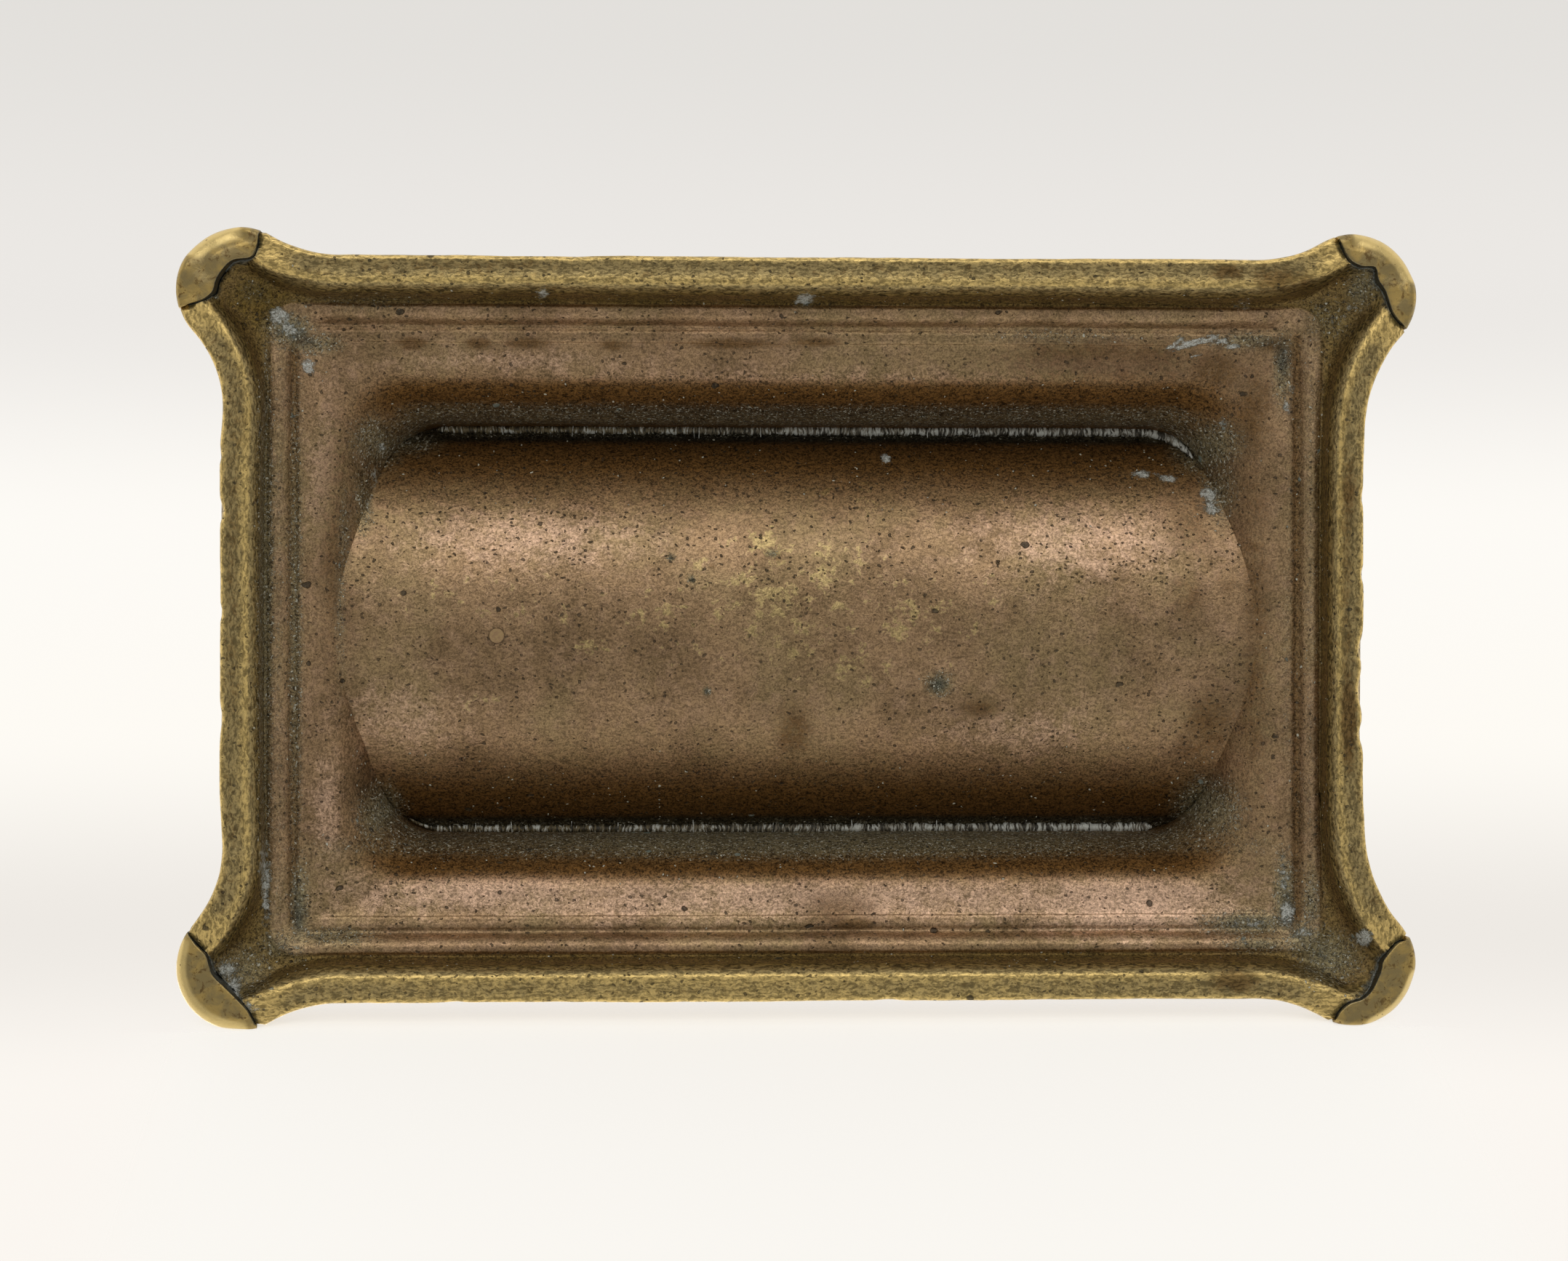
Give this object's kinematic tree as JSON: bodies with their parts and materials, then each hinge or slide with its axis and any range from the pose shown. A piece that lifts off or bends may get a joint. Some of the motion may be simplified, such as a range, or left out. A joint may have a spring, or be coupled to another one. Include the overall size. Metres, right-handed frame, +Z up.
{
  "type": "stamp box",
  "caption": "Low cast bronze desk box for stamps: flared foot on corner toes, curved-floor bays, hinged lid.",
  "frame": {"origin": "middle of the four toes' ground plane, under the box's centre", "axes": "+X along the box's length, -Y towards the front and the lid's thumb piece, +Y towards the hinge, +Z up out of the table"},
  "size_m": [0.112, 0.072, 0.0314],
  "materials": {
    "cast_bronze": "cast bronze with a worn brown patina",
    "toe_brass": "brass rubbed bright",
    "hinge_brass": "aged brass, satin",
    "solder": "dull grey soft solder"
  },
  "bodies": {
    "case": {"base_casting": "cast_bronze", "toe_front_left": "toe_brass", "toe_front_right": "toe_brass", "toe_back_left": "toe_brass", "toe_back_right": "toe_brass", "stamp_trough": "cast_bronze", "core_plug": "toe_brass", "divider_left": "cast_bronze", "divider_right": "cast_bronze", "solder_seam_front": "solder", "solder_seam_back": "solder", "hinge_leaf_body": "hinge_brass", "hinge_pin": "hinge_brass", "hinge_screws_body": "hinge_brass"},
    "lid": {"lid": "cast_bronze", "hinge_leaf_lid": "hinge_brass", "hinge_screws_lid": "hinge_brass"}
  },
  "joints": [
    {"name": "lid_hinge", "type": "hinge", "parent": "case", "child": "lid", "pos_m": [0, 0.0226, 0.0254], "axis": [-1, 0, 0], "range_deg": [0, 110]}
  ]
}
